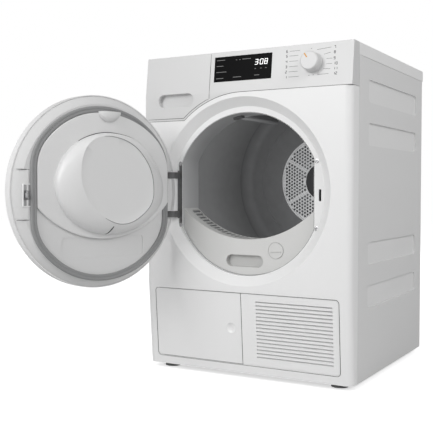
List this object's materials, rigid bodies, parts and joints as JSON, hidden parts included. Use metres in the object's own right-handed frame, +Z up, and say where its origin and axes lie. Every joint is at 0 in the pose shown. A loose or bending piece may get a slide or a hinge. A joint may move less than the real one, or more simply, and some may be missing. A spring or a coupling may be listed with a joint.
{
  "type": "clothes dryer",
  "caption": "Free-standing front-loading heat-pump clothes dryer with a round door standing open, perforated drum back, water container and lint filter.",
  "frame": {"origin": "middle of the cabinet's footprint, on the floor under the feet", "axes": "+X to the right seen from the front, +Y to the back, +Z up; the door is on the -Y side"},
  "size_m": [0.6801, 1.0691, 0.85],
  "materials": {
    "white_paint": "satin",
    "side_paint": "satin",
    "zinc_steel": "satin",
    "white_plastic": "satin",
    "drum_steel": "brushed",
    "dark_metal": "satin",
    "bracket_metal": "satin",
    "grey_plastic": "matt",
    "pale_plastic": "matt",
    "warm_plastic": "matt",
    "dark_plastic": "matt",
    "rubber": "matt",
    "gasket": "matt",
    "felt": "matt",
    "mesh": "matt",
    "black_gloss": "gloss",
    "lamp": "gloss",
    "board": "matt",
    "copper": "satin",
    "fins": "satin",
    "filter_green": "matt",
    "clear_plastic": "gloss",
    "screw_steel": "polished"
  },
  "bodies": {
    "cabinet": {"front_panel": "white_paint", "side_panel_left": "side_paint", "side_panel_right": "side_paint", "top_plate": "white_paint", "rear_panel": "zinc_steel", "base_tray": "dark_plastic", "feet": "rubber", "front_shield": "grey_plastic", "drum_seals": "felt", "drum_lamp": "lamp", "rear_duct": "zinc_steel", "rear_bearing": "zinc_steel", "drive_belt": "rubber", "drive_motor": "zinc_steel", "blower_housing": "pale_plastic", "idler_arm": "zinc_steel", "compressor": "dark_metal", "evaporator": "fins", "condenser": "fins", "refrigerant_pipes": "copper", "air_tunnel": "pale_plastic", "plinth_filter": "filter_green", "cooling_fan_frame": "dark_plastic", "condensate_pump": "pale_plastic", "condensate_hose": "clear_plastic", "container_tray": "grey_plastic", "control_fascia": "white_plastic", "display_window": "black_gloss", "control_board": "board", "vent_grille": "white_plastic", "hinge_bracket": "bracket_metal", "door_lock": "dark_plastic", "screws": "screw_steel", "power_inlet": "dark_plastic", "drain_spigot": "pale_plastic"},
    "door": {"door_outer_shell": "white_plastic", "door_inner_panel": "white_plastic", "door_bulge": "white_plastic", "door_gasket": "gasket", "door_grip": "white_plastic", "hinge_pins": "screw_steel"},
    "latch": {"latch_hook": "zinc_steel"},
    "drum": {"drum_shell": "drum_steel", "drum_rear_wall": "drum_steel", "drum_air_plate": "zinc_steel", "drum_hub": "dark_plastic", "drum_lifters": "grey_plastic"},
    "rotor": {"motor_shaft": "zinc_steel", "blower_wheel": "grey_plastic"},
    "idler": {"idler_pulley": "dark_plastic"},
    "roller_left": {"support_roller_left": "rubber"},
    "roller_right": {"support_roller_right": "rubber"},
    "fan": {"cooling_fan": "dark_plastic"},
    "container": {"condensate_container": "clear_plastic", "container_front": "white_plastic"},
    "filter": {"lint_filter": "warm_plastic", "lint_mesh": "mesh"},
    "cap": {"fragrance_cap": "warm_plastic"},
    "knob": {"selector_knob": "white_plastic"},
    "flap": {"access_flap": "white_plastic"}
  },
  "joints": [
    {"name": "door_hinge", "type": "hinge", "parent": "cabinet", "child": "door", "pos_m": [-0.22, -0.3255, 0], "axis": [0, 0, -1], "range_deg": [-110, 15]},
    {"name": "latch_spring", "type": "hinge", "parent": "door", "child": "latch", "pos_m": [-0.34118, -0.73739, 0.478], "axis": [0.342, 0.9397, 0], "range_deg": [0, 6], "stiffness_Nm_per_rad": 0.05},
    {"name": "drum_spin", "type": "hinge", "parent": "cabinet", "child": "drum", "pos_m": [0, 0, 0.518], "axis": [0, 1, 0], "continuous": true},
    {"name": "motor_spin", "type": "hinge", "parent": "cabinet", "child": "rotor", "pos_m": [0.15, 0, 0.14], "axis": [0, 1, 0], "continuous": true},
    {"name": "idler_spin", "type": "hinge", "parent": "cabinet", "child": "idler", "pos_m": [0.21368, 0, 0.22903], "axis": [0, 1, 0], "continuous": true},
    {"name": "roller_left_spin", "type": "hinge", "parent": "cabinet", "child": "roller_left", "pos_m": [-0.1549, 0, 0.24971], "axis": [0, 1, 0], "continuous": true},
    {"name": "roller_right_spin", "type": "hinge", "parent": "cabinet", "child": "roller_right", "pos_m": [0.1549, 0, 0.24971], "axis": [0, 1, 0], "continuous": true},
    {"name": "fan_spin", "type": "hinge", "parent": "cabinet", "child": "fan", "pos_m": [0.15, 0, 0.122], "axis": [0, 1, 0], "continuous": true},
    {"name": "container_slide", "type": "slide", "parent": "cabinet", "child": "container", "axis": [0, -1, 0], "range_m": [0, 0.07]},
    {"name": "filter_slide", "type": "slide", "parent": "cabinet", "child": "filter", "axis": [0, -1, 0], "range_m": [0, 0.055]},
    {"name": "cap_turn", "type": "hinge", "parent": "filter", "child": "cap", "pos_m": [0.085, 0, 0.3355], "axis": [0, 1, 0], "range_deg": [0, 90]},
    {"name": "knob_turn", "type": "hinge", "parent": "cabinet", "child": "knob", "pos_m": [0.193, -0.2988, 0.80212], "axis": [0, -0.9931, 0.1175], "continuous": true},
    {"name": "flap_hinge", "type": "hinge", "parent": "cabinet", "child": "flap", "pos_m": [-0.2595, -0.29488, 0.1305], "axis": [0, 0.0785, -0.9969], "range_deg": [0, 100]}
  ],
  "couplings": [
    {"joint": "motor_spin", "follows": "drum_spin", "ratio": 23.708},
    {"joint": "idler_spin", "follows": "drum_spin", "ratio": -20.464},
    {"joint": "roller_left_spin", "follows": "drum_spin", "ratio": -11.38},
    {"joint": "roller_right_spin", "follows": "drum_spin", "ratio": -11.38}
  ]
}
